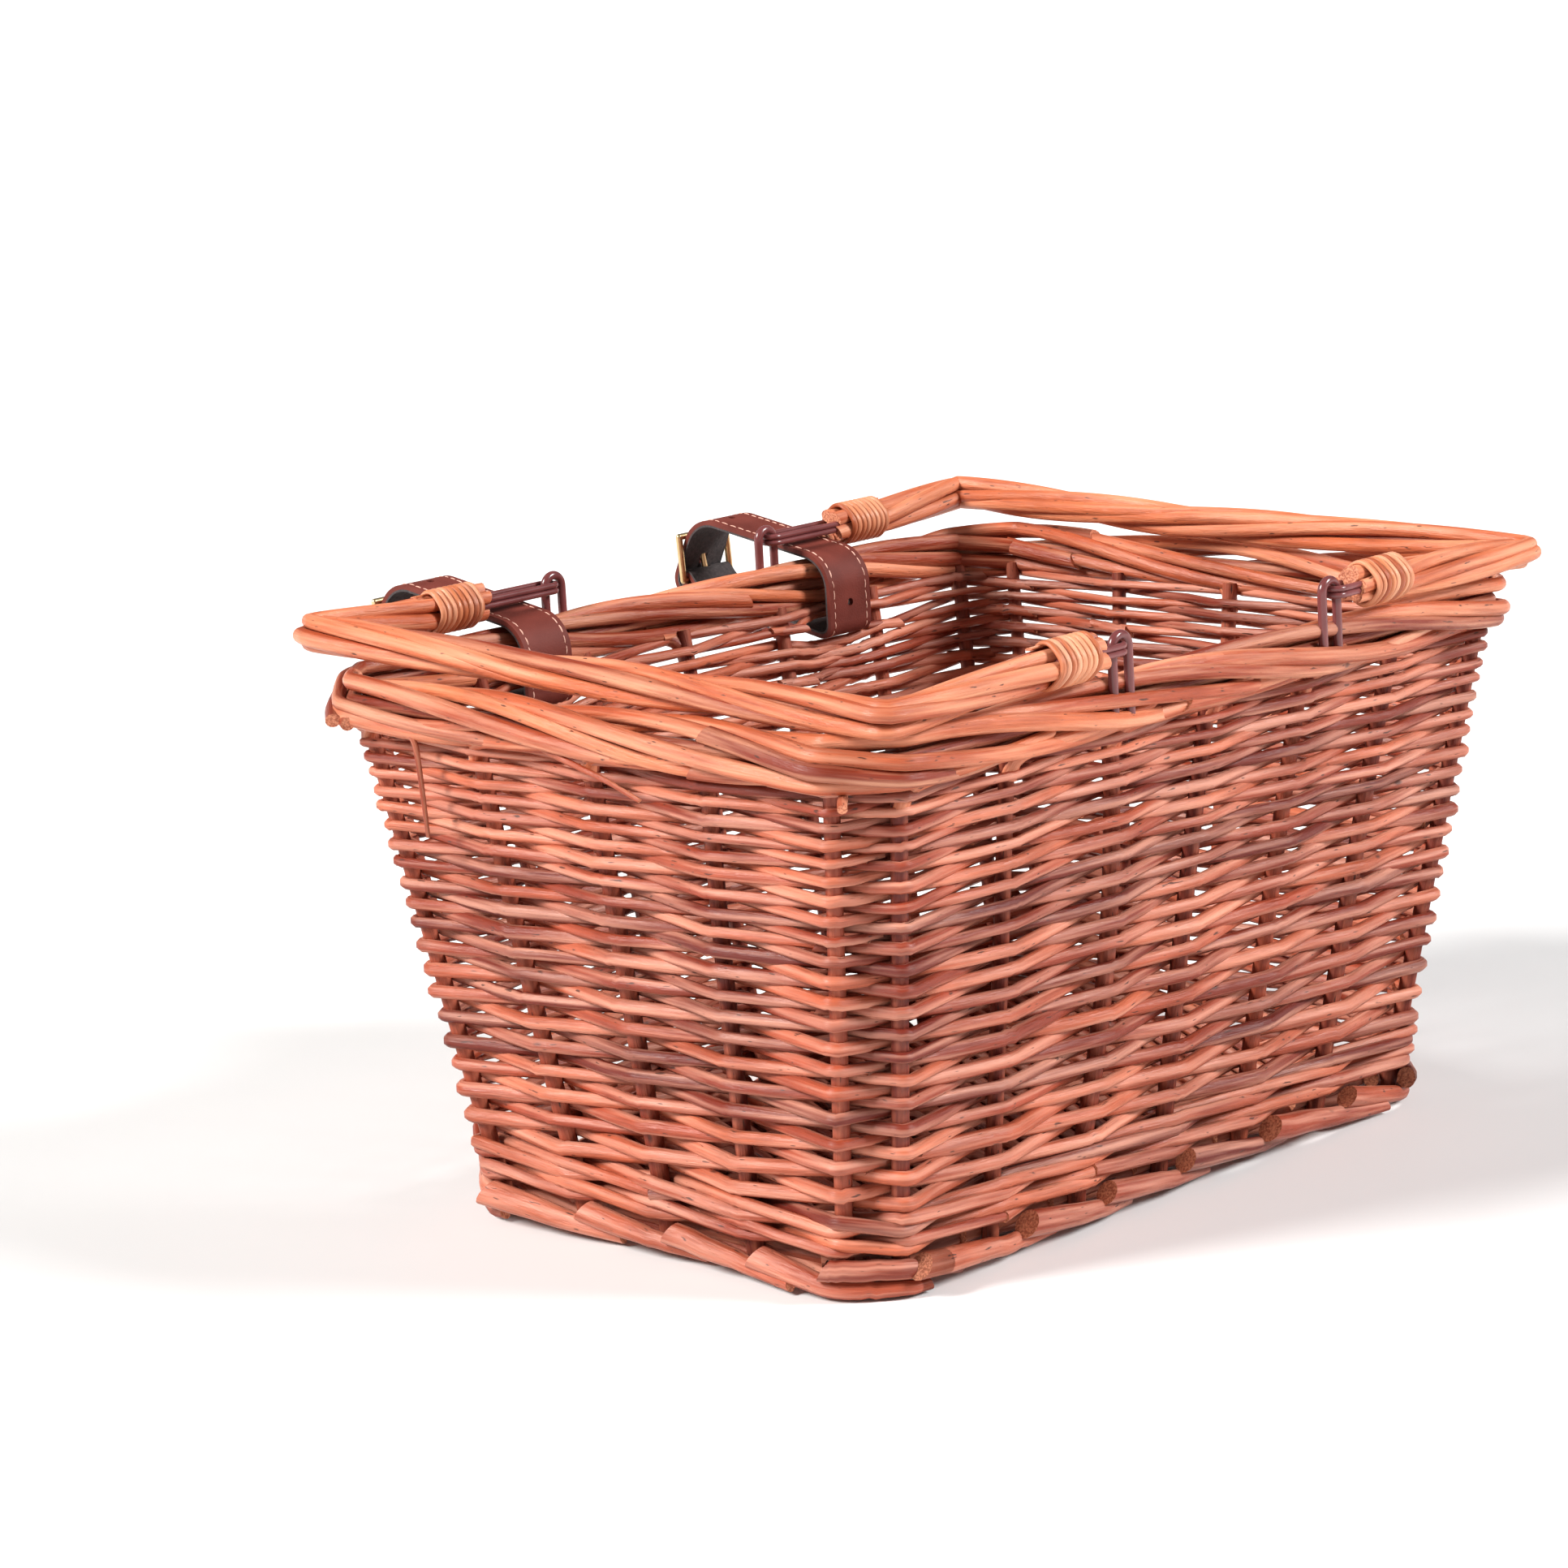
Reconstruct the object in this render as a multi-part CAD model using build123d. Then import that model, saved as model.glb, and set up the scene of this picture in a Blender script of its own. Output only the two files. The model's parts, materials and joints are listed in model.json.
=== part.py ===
from build123d import *
from math import asin, atan2, cos, pi, radians, sin, sqrt, tan
import os

# Willow handlebar basket, millimetres, +Z up.  +X runs along the long walls, the handlebar side is +Y.
# The origin is at the middle of the bounding box, on the plane that the basket stands on.
BASKET_Y = -27.76                # the basket's own centre line in the part's frame

# Basket body: an octagon (a rectangle with cut corners) that widens upwards
FOOT_Z, WALE_Z, WEAVE_Z, RIM_Z = 0.0, 13.0, 30.0, 180.0
LOW_Z, HIGH_Z = 13.0, 178.5      # the two heights where the outline is known
LOW_X, HIGH_X = 155.0, 177.3     # half lengths, outside
LOW_Y, HIGH_Y = 102.7, 131.7     # half widths, outside
LOW_CUT, HIGH_CUT = 16.8, 19.0   # legs of the cut corners
WALL = 13.0                      # woven wall, through stake and weavers
BORDER_PROUD = 2.0               # the foot border stands out from the wall
STAKE_R = 3.0
STAKE_FIT = 0.05                 # the weavers press on the rods; the holes are this much wider
LONG_STAKES, SHORT_STAKES = 7, 5 # per wall, corner stakes counted on both
BASE_Z, BASE_T = 8.0, 10.0
BASE_STICKS, BASE_STICK_R = 7, 3.0
BASE_STICK_END, BASE_STICK_EDGE = 3.0, 12.0  # room left at the sticks' ends and beside the last ones
STAKE_FOOT = 4.0

# Top border: four rods in two columns
RIM_R = 4.1
RIM_GAP = 0.05
RIM_LIFT = 0.3                   # from the weave to the lowest rods
RIM_OUT_X, RIM_OUT_Y = 184.8, 138.9

# Handles: two hoops of four rods, hinged on wire staples
HINGE_X, HINGE_Y, HINGE_Z = 56.5, 135.0, 207.3
GRIP_X = 168.0                   # centre line of the long side of the hoop
ROD_R, ROD_GAP = 3.5, 0.05
FRONT_START, REAR_START = 69.0, 92.5     # where the rods begin, from the middle
BINDING_IN, BINDING_LEN, BINDING_T = 3.7, 24.0, 1.2
STAPLE_WIRE_R = 1.65
STAPLE_R = 4.1                   # centre line of the staple's arch
STAPLE_FOOT = 183.0
LOOP_WIRE_R, LOOP_LAYER = 1.1, 1.12      # the handle's wire is doubled, one turn over the other
LOOP_R = 3.7                     # centre line of the handle wire's round end
LOOP_INTO_RODS = 20.0

# Straps round the handlebar
STRAP_X, STRAP_W = 80.0, 22.6
LEATHER_T, LINING_T, STITCH_T = 1.7, 0.8, 0.25
STITCH_IN, STITCH_W = 2.0, 0.8
BAR_Y, BAR_Z, BAR_R = 178.0, 195.0, 12.7
LAYER_GAP = 0.4                  # between two layers of strap
STITCH_GAP = 0.3                 # between a layer's stitching and what lies on it
SLOT_Z = 170.5                   # inner face of the strap where it passes through the wall
SLOT_FIT, SLOT_SIDE = 0.4, 0.5   # the slot's room above and below the strap, and beside it
STRAP_OFF_WALL = 0.6
SLOT_BEND, RIM_BEND = 3.0, 12.0  # the strap's inner bends at the slot and over the rim
RIM_BEND_Z = 187.1
HEEL_ANGLE, FRONT_ANGLE = -34.0, 28.0    # the buckle's two cross bars, round the handlebar
FRAME_R = 1.3
FRAME_SIDE = 0.5                 # room between the strap's edge and the frame
FOLD_R = FRAME_R + 0.1
FLAP_ANGLE = 40.0                # how far the folded end goes back round the handlebar
PRONG_R, EYE_W, EYE_R = 1.1, 3.2, 2.8
PRONG_PAST, PRONG_LIFT = 2.5, 0.1        # beyond the front bar, and off it
PRONG_ROOM = 0.35                # round the prong in its slot
EYE_ROOM, EYE_SIDE = 0.5, 0.4
PIN_FIT = 0.05
PRONG_TRAVEL = 8.0
TAIL_END_Y = 147.0
KEEPER_Y, KEEPER_LEN, KEEPER_T, KEEPER_ROOM = 152.0, 8.0, 1.6, 0.4
KEEPER_CORNER = 2.0
HOLE_R, HOLE_DEPTH = 1.5, 6.0
# Punched holes: where each crosses the strap, in Y and Z, and which way
HOLES = (((120.0, 181.0), (1, 0)), ((152.0, 204.0), (-0.17, 1)), ((176.0, 208.5), (-0.1, 1)))

STRAP_T = LEATHER_T + LINING_T
STRAP_LAYER = STRAP_T + STITCH_T + STITCH_GAP


# ---------------------------------------------------------------- helpers
def save(shape, node):
    export_step(shape.moved(Location((0, BASKET_Y, 0))), f"parts/{node}.step")


def at_height(low, high, z):
    return low + (high - low) * (z - LOW_Z) / (HIGH_Z - LOW_Z)


def ring(z, inset=0.0):
    """The octagon's corners at height z, moved inwards by inset; walls lie between corners 7-0,
    1-2, 3-4 and 5-6 (front, right, rear, left)."""
    x = at_height(LOW_X, HIGH_X, z) - inset
    y = at_height(LOW_Y, HIGH_Y, z) - inset
    cut = at_height(LOW_CUT, HIGH_CUT, z) - inset * (2 - sqrt(2))
    corners = [(x - cut, -y), (x, cut - y), (x, y - cut), (x - cut, y)]
    corners += [(-a, -b) for a, b in corners]
    return [Vector(a, b, z) for a, b in corners]


def prism(low, high):
    """A closed solid between two flat outlines with the same number of corners."""
    sides = [Face(Wire.make_polygon([low[i - 1], low[i], high[i], high[i - 1]], close=True))
             for i in range(len(low))]
    ends = [Face(Wire.make_polygon(outline, close=True)) for outline in (low, high)]
    return Solid(Shell(sides + ends))


WALLS = {"front": (7, 0), "rear": (3, 4), "right": (0, 1, 2, 3), "left": (4, 5, 6, 7)}


def wall_band(wall, z0, z1, proud=0.0):
    """One wall's share of a band of weave; the short walls take the cut corners with them."""
    outlines = []
    for z in (z0, z1):
        outer, inner = ring(z, -proud), ring(z, WALL)
        picked = WALLS[wall]
        outlines.append([outer[i] for i in picked] + [inner[i] for i in reversed(picked)])
    return prism(*outlines)


def cylinder_between(start, end, radius):
    axis = Vector(*end) - Vector(*start)
    return Solid.make_cylinder(radius, axis.length, Plane(origin=Vector(*start), z_dir=axis))


def bent_rod(points, radius):
    """A round rod with sharp kinks, as willow takes when it is bent dry."""
    path = Polyline(*points)
    section = Plane(origin=path @ 0, z_dir=path % 0) * Circle(radius)
    return sweep(section, path=path, transition=Transition.RIGHT)


def wire_rod(path, radius):
    section = Plane(origin=path @ 0, z_dir=path % 0) * Circle(radius)
    return sweep(section, path=path)


# ---------------------------------------------------------------- basket body
def stakes(wall, radius=STAKE_R):
    """The upright rods of one wall, with one at each of its two corners of the octagon."""
    long_wall = wall in ("front", "rear")
    count = LONG_STAKES if long_wall else SHORT_STAKES
    picked = WALLS[wall] if long_wall else WALLS[wall][1:3]
    bottom, top = ring(STAKE_FOOT, WALL / 2), ring(RIM_Z, WALL / 2)
    solids = []
    for i in range(count):
        share = i / (count - 1)
        ends = [level[picked[0]] + (level[picked[1]] - level[picked[0]]) * share
                for level in (bottom, top)]
        solids.append(cylinder_between(*ends, radius))
    return solids


def base():
    """Sticks along the basket with a woven floor round them."""
    low, high = ring(BASE_Z, WALL), ring(BASE_Z + BASE_T, WALL)
    floor_half = low[1].X - BASE_STICK_END
    pitch = 2 * (low[3].Y - BASE_STICK_EDGE) / (BASE_STICKS - 1)
    middle = BASE_Z + BASE_T / 2
    sticks, holes = [], []
    for i in range(BASE_STICKS):
        y = pitch * (i - (BASE_STICKS - 1) / 2)
        ends = (-floor_half, y, middle), (floor_half, y, middle)
        sticks.append(cylinder_between(*ends, BASE_STICK_R))
        holes.append(cylinder_between(*ends, BASE_STICK_R + STAKE_FIT))
    return sticks, prism(low, high) - holes


def rim(wall):
    """Four rods laid along one wall; on the short walls they carry on round the cut corners."""
    rods = []
    for column in (0, 1):
        inset = RIM_R + column * (2 * RIM_R + RIM_GAP)
        for row in (0, 1):
            z = RIM_Z + RIM_LIFT + RIM_R + row * (2 * RIM_R + RIM_GAP)
            x, y = RIM_OUT_X - inset, RIM_OUT_Y - inset
            cut = HIGH_CUT - (inset - RIM_OUT_X + HIGH_X) * (2 - sqrt(2))
            corners = [(x - cut, -y), (x, cut - y), (x, y - cut), (x - cut, y)]
            corners += [(-a, -b) for a, b in corners]
            points = [Vector(*corners[i], z) for i in WALLS[wall]]
            if len(points) == 2:
                run = (points[1] - points[0]).normalized() * (RIM_R * sin(pi / 4) + 0.1)
                rods.append(cylinder_between(points[0] + run, points[1] - run, RIM_R))
            else:
                rods.append(bent_rod(points, RIM_R))
    return rods


# ---------------------------------------------------------------- handles and their hinges
def staple(side, end):
    """A wire arch standing in the top border; side is -1 or 1 in X, end is -1 or 1 in Y."""
    x, y = side * HINGE_X, end * HINGE_Y
    near, far, top = x - STAPLE_R, x + STAPLE_R, HINGE_Z
    path = Line((near, y, STAPLE_FOOT), (near, y, top))
    path += ThreePointArc((near, y, top), (x, y, top + STAPLE_R), (far, y, top))
    path += Line((far, y, top), (far, y, STAPLE_FOOT))
    return wire_rod(Wire(path.edges()), STAPLE_WIRE_R)


def wire_loop(side, end):
    """The handle's doubled wire: round ends through the staple and legs held under the binding."""
    start = FRONT_START if end < 0 else REAR_START
    centre, tip = side * (HINGE_X + LOOP_R), side * (start + BINDING_IN + LOOP_INTO_RODS)
    low, high = end * HINGE_Y - LOOP_R, end * HINGE_Y + LOOP_R
    turns = []
    for z in (HINGE_Z - LOOP_LAYER, HINGE_Z + LOOP_LAYER):
        path = Line((tip, low, z), (centre, low, z))
        path += ThreePointArc((centre, low, z), (side * HINGE_X, end * HINGE_Y, z), (centre, high, z))
        path += Line((centre, high, z), (tip, high, z))
        turns.append(wire_rod(Wire(path.edges()), LOOP_WIRE_R))
    return turns


def handle_rod(side, column, row):
    """One of a hoop's four rods: out along the front rim, back along the short wall, in again."""
    shift = (ROD_R + ROD_GAP) * column
    x, y, z = side * (GRIP_X + shift), HINGE_Y + shift, HINGE_Z + (ROD_R + ROD_GAP) * row
    corners = [(side * FRONT_START, -y, z), (x, -y, z), (x, y, z), (side * REAR_START, y, z)]
    return bent_rod(corners, ROD_R)


def binding(side, end):
    """Flat cane wound round the four rods, as one sleeve."""
    start = (FRONT_START if end < 0 else REAR_START) + BINDING_IN
    inner = 2 * (2 * ROD_R + 2 * ROD_GAP)
    plane = Plane(origin=(side * start, end * HINGE_Y, HINGE_Z), x_dir=(0, 1, 0), z_dir=(side, 0, 0))
    outline = RectangleRounded(inner + 2 * BINDING_T, inner + 2 * BINDING_T, ROD_R + ROD_GAP + BINDING_T)
    hollow = RectangleRounded(inner, inner, ROD_R + ROD_GAP)
    return extrude(plane * (outline - hollow), amount=BINDING_LEN)


# ---------------------------------------------------------------- straps
def turn(angle):
    return cos(radians(angle)), sin(radians(angle))


def round_bar(angle, reach):
    """A point beside the handlebar's centre, in Y and Z, at an angle up from the rear."""
    y, z = turn(angle)
    return BAR_Y + reach * y, BAR_Z + reach * z


HEEL_REACH = BAR_R + STRAP_T + FRAME_R + 0.12
HEEL = round_bar(HEEL_ANGLE, HEEL_REACH)
FRONT_REACH = BAR_R + STRAP_T + STITCH_T + 0.2 + FRAME_R
FRONT = round_bar(FRONT_ANGLE, FRONT_REACH)
SLOT_Y = at_height(LOW_Y, HIGH_Y, SLOT_Z) - WALL     # the wall's inner face at the slot
STRAP_IN_Y = SLOT_Y - STRAP_OFF_WALL                 # the strap's lining inside the basket


def lower_run_slope():
    """Slope of the run between the handlebar and the slot in the wall."""
    dy, dz = BAR_Y - (STRAP_IN_Y + SLOT_BEND), BAR_Z - (SLOT_Z + SLOT_BEND)
    return atan2(dz, dy) - asin((BAR_R - SLOT_BEND) / sqrt(dy * dy + dz * dz))


def strap_route():
    """Circles that the strap's lining side bends round, in order: (y, z, radius, sense).  Sense 1 has
    the circle on the lining's side, -1 on the leather's side; a radius of 0 is an end."""
    slope = lower_run_slope()
    flap = round_bar(HEEL_ANGLE - FLAP_ANGLE, BAR_R + STRAP_T + STRAP_LAYER)
    tail_r = BAR_R + STRAP_T + STRAP_LAYER + LAYER_GAP
    tail_z = SLOT_Z + (BAR_R - tail_r) / cos(slope) + (TAIL_END_Y - SLOT_Y) * tan(slope)
    return [(*flap, 0, -1),
            (*HEEL, FOLD_R + STRAP_T, -1),
            (BAR_Y, BAR_Z, BAR_R, 1),
            (STRAP_IN_Y + SLOT_BEND, SLOT_Z + SLOT_BEND, SLOT_BEND, 1),
            (STRAP_IN_Y + RIM_BEND, RIM_BEND_Z, RIM_BEND, 1),
            (BAR_Y, BAR_Z, BAR_R, 1),
            (*HEEL, FOLD_R + STRAP_T + LAYER_GAP, 1),
            (BAR_Y, BAR_Z, tail_r, 1),
            (TAIL_END_Y, tail_z, 0, 1)]


def offset_route(route, depth):
    """Edges of the route moved depth towards the lining's side (negative: the leather's side)."""
    runs = []
    for (y0, z0, r0, s0), (y1, z1, r1, s1) in zip(route, route[1:]):
        gap = sqrt((y1 - y0) ** 2 + (z1 - z0) ** 2)
        heading = atan2(z1 - z0, y1 - y0) + asin(max(-1, min(1, (s1 * r1 - s0 * r0) / gap)))
        side = (sin(heading), -cos(heading))
        reach0, reach1 = s0 * r0 - depth, s1 * r1 - depth
        runs.append(((y0 - reach0 * side[0], z0 - reach0 * side[1]),
                     (y1 - reach1 * side[0], z1 - reach1 * side[1]), heading))
    edges = []
    for i, (start, end, heading) in enumerate(runs):
        if sqrt((end[0] - start[0]) ** 2 + (end[1] - start[1]) ** 2) > 1e-4:
            edges.append(Edge.make_line((0, *start), (0, *end)))
        if i + 1 < len(runs):
            y, z, radius, sense = route[i + 1]
            sweep_angle = (heading - runs[i + 1][2]) * sense % (2 * pi)
            middle = heading - sense * sweep_angle / 2
            reach = sense * radius - depth
            via = (y - reach * sin(middle), z + reach * cos(middle))
            edges.append(Edge.make_three_point_arc((0, *end), (0, *via), (0, *runs[i + 1][0])))
    return edges


def ribbon(route, near, far, x0, x1):
    """A strip between two depths beside the route, from x0 to x1."""
    first, second = offset_route(route, near), offset_route(route, far)
    caps = [Edge.make_line(first[0] @ 0, second[0] @ 0), Edge.make_line(first[-1] @ 1, second[-1] @ 1)]
    outline = Wire(first + second + caps)
    return Solid.extrude(Face(outline), Vector(x1 - x0, 0, 0)).moved(Location((x0, 0, 0)))


def heel_cylinder(x, radius, width):
    """A cylinder round the heel bar's centre line, with x in its middle."""
    plane = Plane(origin=(x - width / 2, *HEEL), z_dir=(1, 0, 0))
    return Solid.make_cylinder(radius, width, plane)


def prong_line():
    """Angle of the prong where it lies on the front bar, and the distance between the two bars."""
    dy, dz = FRONT[0] - HEEL[0], FRONT[1] - HEEL[1]
    reach = sqrt(dy * dy + dz * dz)
    return atan2(dz, dy) - asin((FRAME_R + PRONG_R + PRONG_LIFT) / reach), reach


def from_heel(angle, along, across=0.0):
    return (HEEL[0] + cos(angle) * along - sin(angle) * across,
            HEEL[1] + sin(angle) * along + cos(angle) * across)


def prong_slot(x):
    """The room that the prong needs in the leather over its travel."""
    angle, reach = prong_line()
    room, width = PRONG_R + PRONG_ROOM, EYE_W + 2 * EYE_SIDE
    lifted = angle - radians(PRONG_TRAVEL)
    corners = [from_heel(angle, 0, room), from_heel(angle, reach + 1, room),
               from_heel(lifted, reach + 1, -room), from_heel(lifted, 0, -room)]
    face = Face(Wire.make_polygon([(x - width / 2, y, z) for y, z in corners], close=True))
    return [Solid.extrude(face, Vector(width, 0, 0)), heel_cylinder(x, EYE_R + EYE_ROOM, width)]


def punched_holes(x):
    holes = []
    for (y, z), (dy, dz) in HOLES:
        axis = Vector(0, dy, dz).normalized() * HOLE_DEPTH
        middle = Vector(x, y, z)
        holes.append(cylinder_between(middle - axis, middle + axis, HOLE_R))
    return holes


def strap(side):
    x0, x1 = side * STRAP_X - STRAP_W / 2, side * STRAP_X + STRAP_W / 2
    route = strap_route()
    cuts = prong_slot(side * STRAP_X) + punched_holes(side * STRAP_X)
    lining = ribbon(route, 0, -LINING_T, x0, x1) - cuts
    leather = ribbon(route, -LINING_T, -STRAP_T, x0, x1) - cuts
    threads = []
    for edge in (x0 + STITCH_IN, x1 - STITCH_IN - STITCH_W):
        threads.append(ribbon(route[2:], -STRAP_T, -STRAP_T - STITCH_T, edge, edge + STITCH_W))
    return leather, lining, threads


def buckle_frame(side):
    """A wire rectangle, swept as two halves that meet in the middle of each cross bar."""
    reach = STRAP_W / 2 + FRAME_SIDE + FRAME_R
    x = side * STRAP_X
    halves = []
    for edge in (x - reach, x + reach):
        run = Polyline((x, *HEEL), (edge, *HEEL), (edge, *FRONT), (x, *FRONT))
        section = Plane(origin=run @ 0, z_dir=run % 0) * Circle(FRAME_R)
        halves.append(sweep(section, path=run, transition=Transition.ROUND))
    return halves[0] + halves[1]


def buckle_prong(side):
    angle, reach = prong_line()
    x = side * STRAP_X
    tip = (x, *from_heel(angle, reach + PRONG_PAST))
    shaft = cylinder_between((x, *HEEL), tip, PRONG_R) + Pos(*tip) * Sphere(PRONG_R)
    return heel_cylinder(x, EYE_R, EYE_W) + shaft - heel_cylinder(x, FRAME_R + PIN_FIT, 3 * EYE_W)


def keeper(side):
    """A leather loop round both layers of the lower run."""
    slope = lower_run_slope()
    inner_z = SLOT_Z + (KEEPER_Y - SLOT_Y) * tan(slope)
    stack = 2 * STRAP_LAYER + STRAP_T - STITCH_GAP + LAYER_GAP
    tall, wide = stack + 2 * KEEPER_ROOM, STRAP_W + 2 * KEEPER_ROOM
    normal = Vector(0, -sin(slope), cos(slope))
    middle = Vector(side * STRAP_X, KEEPER_Y, inner_z) - normal * (stack / 2)
    plane = Plane(origin=middle, x_dir=(1, 0, 0), z_dir=(0, cos(slope), sin(slope)))
    loop = RectangleRounded(wide + 2 * KEEPER_T, tall + 2 * KEEPER_T, KEEPER_CORNER)
    return extrude(plane * (loop - Rectangle(wide, tall)), amount=KEEPER_LEN)


# ---------------------------------------------------------------- the parts, one file each
os.makedirs("parts", exist_ok=True)

STAKE_HOLES = [hole for wall in WALLS for hole in stakes(wall, STAKE_R + STAKE_FIT)]
STAPLES = {(side, end): staple(side, end) for side in (-1, 1) for end in (-1, 1)}
SIDES = {"left": -1, "right": 1}
ENDS = {"front": -1, "rear": 1}
HOOP_RODS = {"outer_top": (1, 1), "outer_bottom": (1, -1), "inner_top": (-1, 1), "inner_bottom": (-1, -1)}

for wall in WALLS:
    save(Compound(children=stakes(wall)), f"{wall}_stakes")
    save(wall_band(wall, FOOT_Z, WALE_Z, BORDER_PROUD) - STAKE_HOLES, f"{wall}_bottom_border")
    save(wall_band(wall, WALE_Z, WEAVE_Z) - STAKE_HOLES, f"{wall}_wale")
    weave = wall_band(wall, WEAVE_Z, RIM_Z) - STAKE_HOLES
    if wall == "rear":
        rise = (WALL + 1) * tan(lower_run_slope())
        low = SLOT_Z - STRAP_T - STITCH_T - SLOT_FIT
        tall = SLOT_Z + rise + SLOT_FIT - low
        for side in SIDES.values():
            slot = Box(STRAP_W + 2 * SLOT_SIDE, 3 * WALL, tall)
            weave -= Pos(side * STRAP_X, HIGH_Y - WALL / 2, low + tall / 2) * slot
    save(weave, f"{wall}_weave")
    rods = rim(wall)
    if wall in ENDS:
        holes = [STAPLES[(side, ENDS[wall])] for side in SIDES.values()]
        rods = [rod - holes for rod in rods]
    save(Compound(children=rods), f"{wall}_rim")

sticks, floor = base()
save(Compound(children=sticks), "base_sticks")
save(floor, "base_weave")

for hand, side in SIDES.items():
    for end_name, end in ENDS.items():
        save(STAPLES[(side, end)], f"{hand}_{end_name}_staple")
        save(Compound(children=wire_loop(side, end)), f"{hand}_handle_{end_name}_wire")
        save(binding(side, end), f"{hand}_handle_{end_name}_binding")
    wires = [wire for end in ENDS.values() for wire in wire_loop(side, end)]
    for name, (column, row) in HOOP_RODS.items():
        save(handle_rod(side, column, row) - wires, f"{hand}_handle_{name}_rod")
    leather, lining, threads = strap(side)
    save(leather, f"{hand}_strap")
    save(lining, f"{hand}_strap_lining")
    save(Compound(children=threads), f"{hand}_strap_stitching")
    save(buckle_frame(side), f"{hand}_buckle_frame")
    save(buckle_prong(side), f"{hand}_buckle_prong")
    save(keeper(side), f"{hand}_strap_keeper")
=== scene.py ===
"""Willow handlebar basket: every rod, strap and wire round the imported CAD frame.

Lengths are millimetres in the basket's own frame (Y = 0 is its centre line) until put() turns them
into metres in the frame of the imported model."""

import json
from math import asin, atan2, cos, pi, sin, sqrt

import bpy
import numpy as np
from mathutils import Matrix, Vector


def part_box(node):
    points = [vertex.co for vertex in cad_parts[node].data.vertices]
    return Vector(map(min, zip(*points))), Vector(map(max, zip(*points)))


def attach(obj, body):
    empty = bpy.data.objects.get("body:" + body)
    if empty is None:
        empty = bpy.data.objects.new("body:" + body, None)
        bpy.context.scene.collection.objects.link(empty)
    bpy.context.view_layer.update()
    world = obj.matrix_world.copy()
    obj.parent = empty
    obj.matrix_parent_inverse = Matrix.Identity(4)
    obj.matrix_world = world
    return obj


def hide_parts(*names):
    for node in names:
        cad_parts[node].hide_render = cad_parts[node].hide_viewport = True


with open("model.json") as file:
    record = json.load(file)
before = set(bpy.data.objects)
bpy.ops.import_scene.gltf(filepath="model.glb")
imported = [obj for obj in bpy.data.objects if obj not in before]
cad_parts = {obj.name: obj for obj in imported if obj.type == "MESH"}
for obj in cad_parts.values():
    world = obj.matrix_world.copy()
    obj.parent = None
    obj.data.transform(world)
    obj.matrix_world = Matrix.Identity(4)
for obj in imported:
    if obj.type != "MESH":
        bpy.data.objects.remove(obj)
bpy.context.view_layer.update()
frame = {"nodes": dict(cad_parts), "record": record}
RECORD = frame["record"]
RNG = np.random.default_rng(7)
UP = np.array((0.0, 0.0, 1.0))

# ---------------------------------------------------------------- sizes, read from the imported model
JOINTS = {joint["name"]: joint for joint in RECORD["behaviour"]["joints"]}
CENTRE_Y = JOINTS["left_handle_swing"]["pos_m"][1] * 1000
HINGE_Z = JOINTS["right_handle_swing"]["pos_m"][2] * 1000


def box(node):
    """A node's lowest and highest corners, in millimetres in the basket's frame."""
    low, high = (np.array(corner) * 1000 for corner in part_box(node))
    return low - (0, CENTRE_Y, 0), high - (0, CENTRE_Y, 0)


def half(node, axis):
    """How far a node reaches from the basket's centre along an axis."""
    return box(node)[1][axis]


WALE_Z = box("front_wale")[0][2]
WEAVE_Z, WEAVE_TOP = box("front_weave")[0][2], box("front_weave")[1][2]
# The walls' outer faces at two heights: half their length, half their depth and half the front's straight run.
OUTLINE = {z: (half(f"right_{band}", 0), half(f"rear_{band}", 1), half(f"front_{band}", 0))
           for band, z in (("wale", WEAVE_Z), ("weave", WEAVE_TOP))}
WALL = 13.0                      # thickness of the woven walls
STAKE_R = 3.0
LONG, SHORT = 7, 5               # stakes in a long wall and in a short one
RIM_LOW, RIM_HIGH = box("front_rim")[0][2], box("front_rim")[1][2]
RIM_X, RIM_Y = half("right_rim", 0), half("rear_rim", 1)


def put(points):
    """From millimetres in the basket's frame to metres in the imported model's."""
    return (np.asarray(points, float) + (0, CENTRE_Y, 0)) * 0.001


# ---------------------------------------------------------------- rods
class Rods:
    """Tubes gathered into one mesh, with what the bark material needs to know about each."""

    def __init__(self):
        self.verts, self.normals, self.faces = [], [], []
        self.tint, self.grain, self.end = [], [], []
        self.count = 0

    def _add(self, verts, normals, faces, tint, grain, end):
        self.verts.append(verts)
        self.normals.append(normals)
        self.faces += [tuple(index + self.count for index in face) for face in faces]
        self.tint.append(np.full(len(verts), tint))
        self.grain.append(grain)
        self.end.append(np.full(len(verts), end))
        self.count += len(verts)

    def build(self, name, body, material, slot, *nodes):
        """Make the mesh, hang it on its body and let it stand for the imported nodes."""
        mesh = bpy.data.meshes.new(name)
        mesh.from_pydata(put(np.concatenate(self.verts)).tolist(), [], self.faces)
        for key, kind, field, values in (("tint", "FLOAT", "value", self.tint),
                                         ("end", "FLOAT", "value", self.end),
                                         ("grain", "FLOAT_VECTOR", "vector", self.grain)):
            layer = mesh.attributes.new(key, kind, "POINT")
            layer.data.foreach_set(field, np.concatenate(values).astype(np.float32).ravel())
        mesh.polygons.foreach_set("use_smooth", [True] * len(mesh.polygons))
        mesh.normals_split_custom_set_from_vertices(np.concatenate(self.normals).tolist())
        mesh.materials.append(material)
        piece = bpy.data.objects.new(name, mesh)
        bpy.context.scene.collection.objects.link(piece)
        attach(piece, body)
        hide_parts(*nodes)
        return piece


def unit(vectors):
    return vectors / np.maximum(np.linalg.norm(vectors, axis=-1, keepdims=True), 1e-9)


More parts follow.
